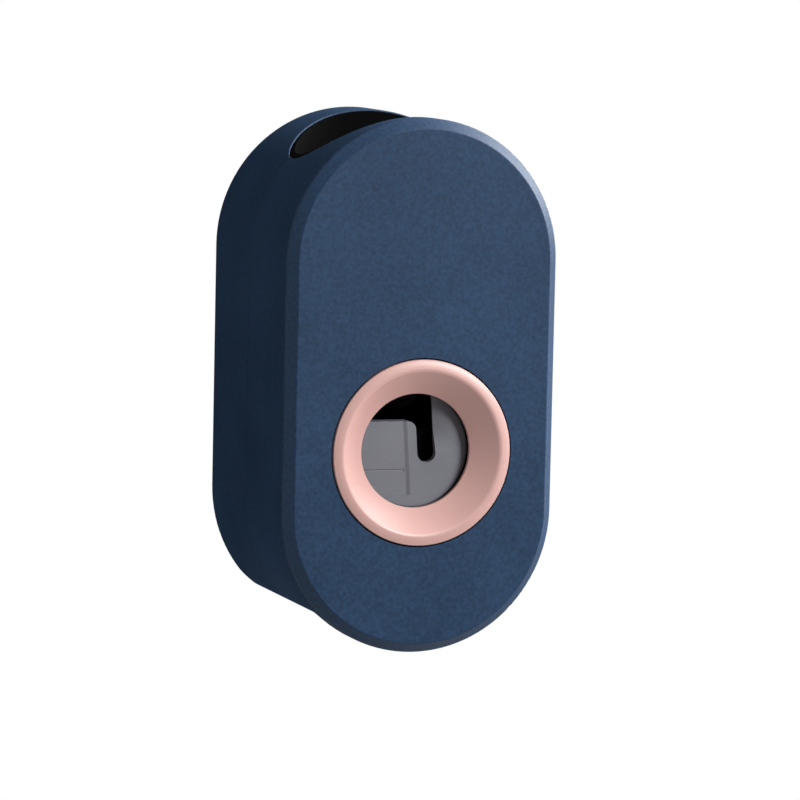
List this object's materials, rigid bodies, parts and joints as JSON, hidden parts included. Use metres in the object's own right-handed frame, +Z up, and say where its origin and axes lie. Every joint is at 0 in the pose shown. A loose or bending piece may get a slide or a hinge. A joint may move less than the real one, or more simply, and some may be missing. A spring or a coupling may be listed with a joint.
{
  "type": "toothpaste dispenser",
  "caption": "Wall-hung stadium-shaped toothpaste dispenser: a brush pushed into the funnel works a spring-backed pusher that pumps paste from an upturned tube.",
  "frame": {"origin": "middle of the adhesive pad's back face, on the wall, behind the middle of the case", "axes": "+Z up, +Y back into the wall, +X to the right of a person in front"},
  "size_m": [0.07, 0.063, 0.1316],
  "materials": {
    "navy_shell": "fine-grained matt moulding",
    "pink_ring": "satin moulding",
    "grey_pusher": "satin moulding",
    "dark_frame": "matt moulding",
    "socket_plastic": "matt moulding",
    "silicone": "matt silicone",
    "bush_plastic": "smooth bearing plastic",
    "steel": "drawn steel",
    "screw_steel": "zinc-plated steel",
    "plate_plastic": "fine-grained matt moulding",
    "pad_foam": "adhesive foam"
  },
  "bodies": {
    "wall_mount": {"wall_plate": "plate_plastic", "adhesive_pad": "pad_foam"},
    "dispenser": {"front_cover": "navy_shell", "rear_shell": "navy_shell", "tube_guide": "dark_frame", "funnel_ring": "pink_ring", "chassis": "dark_frame", "chassis_screws": "screw_steel", "case_screws": "screw_steel", "guide_rod_left": "steel", "guide_rod_right": "steel", "return_spring_left": "steel", "return_spring_right": "steel", "stop_washers": "bush_plastic", "tube_socket": "socket_plastic", "socket_screws": "screw_steel", "tube_seal": "silicone", "inlet_valve": "silicone", "squeeze_sleeve": "silicone", "sleeve_clamp_upper": "steel", "sleeve_clamp_lower": "steel", "outlet_nozzle": "dark_frame", "nozzle_screws": "screw_steel", "outlet_valve": "silicone"},
    "pusher": {"brush_pusher": "grey_pusher", "pusher_yoke": "dark_frame", "pusher_screws": "screw_steel", "press_bar": "dark_frame", "guide_bushings": "bush_plastic"}
  },
  "joints": [
    {"name": "lift_off", "type": "slide", "parent": "wall_mount", "child": "dispenser", "axis": [0, 0, 1], "range_m": [0, 0.009]},
    {"name": "push", "type": "slide", "parent": "dispenser", "child": "pusher", "axis": [0, 1, 0], "range_m": [0, 0.012], "stiffness_N_per_m": 350, "springref_m": -0.008, "deforming": ["return_spring_left", "return_spring_right", "squeeze_sleeve"]}
  ]
}
